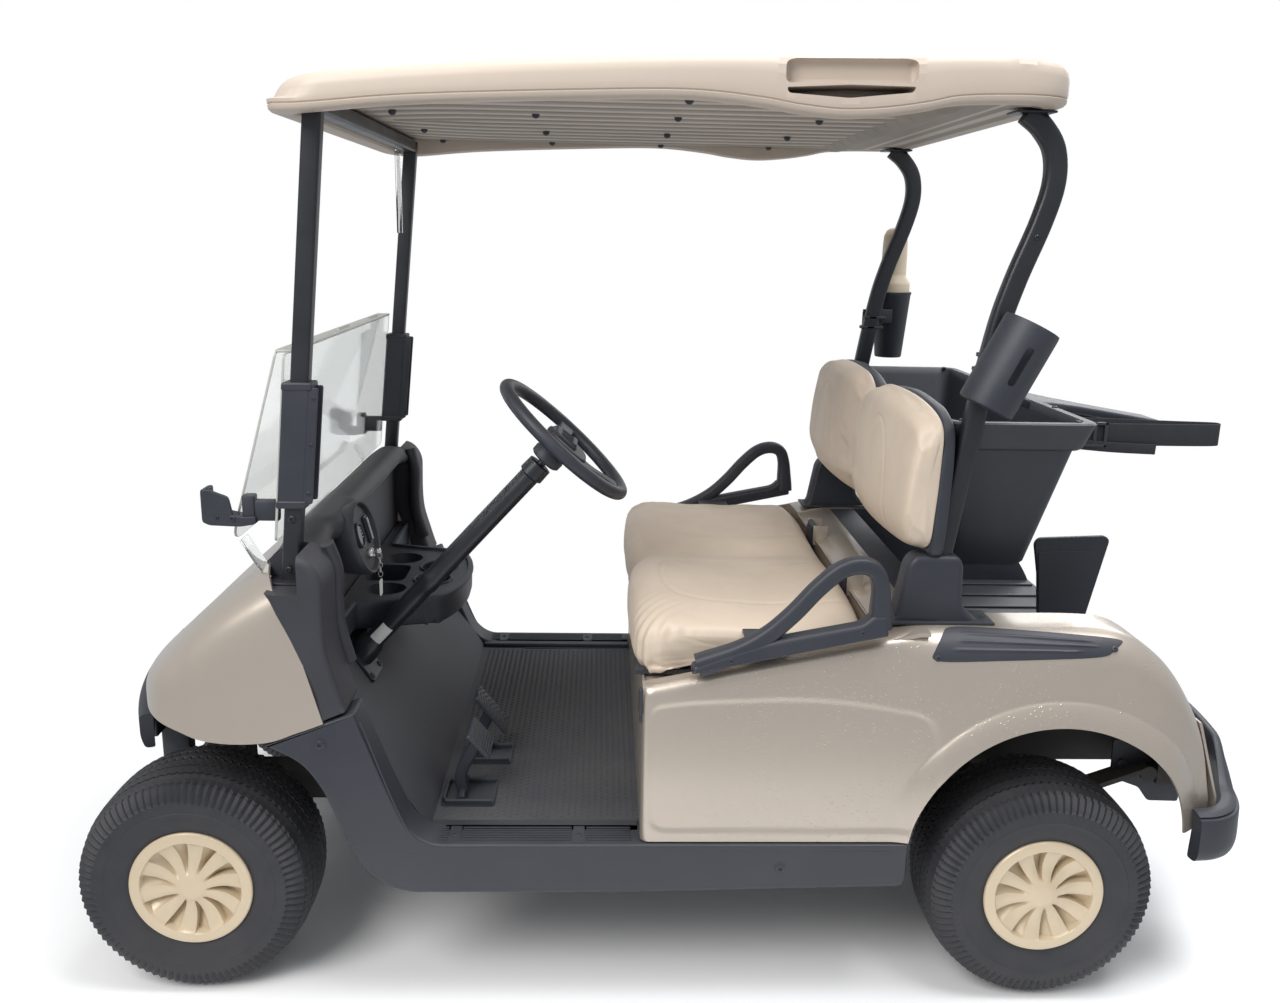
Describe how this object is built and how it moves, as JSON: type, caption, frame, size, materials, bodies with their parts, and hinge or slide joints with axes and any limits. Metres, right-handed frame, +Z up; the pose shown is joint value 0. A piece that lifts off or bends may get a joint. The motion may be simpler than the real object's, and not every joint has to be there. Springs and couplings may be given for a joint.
{
  "type": "golf cart",
  "caption": "Two-seat electric golf cart with a canopy on struts, folded windshield, bench seat that lifts, bag well, basket and steered, freely rolling wheels.",
  "frame": {"origin": "on the ground below the middle of the bounding box", "axes": "+X forward, +Y towards the driver's side, +Z up"},
  "size_m": [2.3999, 1.184, 1.7889],
  "materials": {
    "champagne": "satin metallic champagne",
    "roof_sand": "moulded sand-beige plastic",
    "black_steel": "black powder coat",
    "chassis_steel": "black frame paint",
    "black_plastic": "textured black plastic",
    "dash_plastic": "dark grey textured plastic",
    "floor_mat": "dark grey nubbed rubber",
    "tyre_rubber": "tyre rubber",
    "wheel_gold": "tan gold wheel cover",
    "vinyl": "sand vinyl",
    "clear_pane": "tinted-clear acrylic",
    "webbing": "black webbing",
    "battery_case": "grey plastic case",
    "cast_axle": "cast housing",
    "bottle": "beige plastic bottle"
  },
  "bodies": {
    "chassis": {"frame": "chassis_steel", "battery_pack": "battery_case", "front_arms": "chassis_steel", "front_shocks": "chassis_steel", "steering_rack": "chassis_steel", "rear_axle": "cast_axle", "rear_springs": "chassis_steel", "floor": "floor_mat", "rocker_left": "black_plastic", "rocker_right": "black_plastic", "front_cowl": "champagne", "front_bumper": "black_plastic", "dash": "dash_plastic", "dash_tray": "black_plastic", "pedals": "black_plastic", "front_hoop": "black_steel", "strut_sleeves": "black_plastic", "windshield_lower": "clear_pane", "windshield_upper": "clear_pane", "windshield_clips": "black_plastic", "clear_tab": "clear_pane", "roof": "roof_sand", "rear_struts": "black_steel", "rear_body": "champagne", "bag_well": "black_plastic", "bag_divider": "black_plastic", "scuff_pads": "black_plastic", "rear_bumper": "black_plastic", "seat_back_cushion": "vinyl", "seat_back_shell": "black_plastic", "strut_covers": "black_plastic", "steering_column": "black_steel", "basket": "black_plastic", "bag_straps": "webbing", "sand_holder_left": "black_plastic", "sand_holder_right": "black_plastic", "sand_bottle": "bottle"},
    "steering": {"steering_wheel": "black_plastic"},
    "seat": {"seat_cushion": "vinyl", "seat_pan": "black_plastic", "hip_restraints": "black_plastic"},
    "knuckle_left_body": {"knuckle_left": "chassis_steel"},
    "tie_rod_left_body": {"tie_rod_left": "chassis_steel"},
    "front_left_wheel": {"tyre_front_left": "tyre_rubber", "wheel_front_left": "wheel_gold"},
    "rear_left_wheel": {"tyre_rear_left": "tyre_rubber", "wheel_rear_left": "wheel_gold"},
    "knuckle_right_body": {"knuckle_right": "chassis_steel"},
    "tie_rod_right_body": {"tie_rod_right": "chassis_steel"},
    "front_right_wheel": {"tyre_front_right": "tyre_rubber", "wheel_front_right": "wheel_gold"},
    "rear_right_wheel": {"tyre_rear_right": "tyre_rubber", "wheel_rear_right": "wheel_gold"}
  },
  "joints": [
    {"name": "steering_turn", "type": "hinge", "parent": "chassis", "child": "steering", "pos_m": [0.26, 0.25, 1.07], "axis": [-0.6756, 0, 0.7373], "range_deg": [-420, 420]},
    {"name": "knuckle_left_steer", "type": "hinge", "parent": "chassis", "child": "knuckle_left_body", "pos_m": [0.9715, 0.33, 0.2285], "axis": [0, 0, 1], "range_deg": [-28, 28]},
    {"name": "tie_rod_left_swing", "type": "hinge", "parent": "knuckle_left_body", "child": "tie_rod_left_body", "pos_m": [0.8915, 0.33, 0.1875], "axis": [0, 0, 1], "range_deg": [-28, 28]},
    {"name": "front_left_spin", "type": "hinge", "parent": "knuckle_left_body", "child": "front_left_wheel", "pos_m": [0.9715, 0.46, 0.2285], "axis": [0, 1, 0], "continuous": true},
    {"name": "rear_left_spin", "type": "hinge", "parent": "chassis", "child": "rear_left_wheel", "pos_m": [-0.6975, 0.488, 0.2285], "axis": [0, 1, 0], "continuous": true},
    {"name": "knuckle_right_steer", "type": "hinge", "parent": "chassis", "child": "knuckle_right_body", "pos_m": [0.9715, -0.33, 0.2285], "axis": [0, 0, 1], "range_deg": [-28, 28]},
    {"name": "tie_rod_right_swing", "type": "hinge", "parent": "knuckle_right_body", "child": "tie_rod_right_body", "pos_m": [0.8915, -0.33, 0.1875], "axis": [0, 0, 1], "range_deg": [-28, 28]},
    {"name": "front_right_spin", "type": "hinge", "parent": "knuckle_right_body", "child": "front_right_wheel", "pos_m": [0.9715, -0.46, 0.2285], "axis": [0, 1, 0], "continuous": true},
    {"name": "rear_right_spin", "type": "hinge", "parent": "chassis", "child": "rear_right_wheel", "pos_m": [-0.6975, -0.488, 0.2285], "axis": [0, 1, 0], "continuous": true},
    {"name": "seat_lift", "type": "hinge", "parent": "chassis", "child": "seat", "pos_m": [-0.352, 0, 0.776], "axis": [0, -1, 0], "range_deg": [0, 70]}
  ],
  "couplings": [
    {"joint": "knuckle_left_steer", "follows": "steering_turn", "ratio": 0.066667},
    {"joint": "tie_rod_left_swing", "follows": "steering_turn", "ratio": -0.066667},
    {"joint": "knuckle_right_steer", "follows": "steering_turn", "ratio": 0.066667},
    {"joint": "tie_rod_right_swing", "follows": "steering_turn", "ratio": -0.066667}
  ]
}
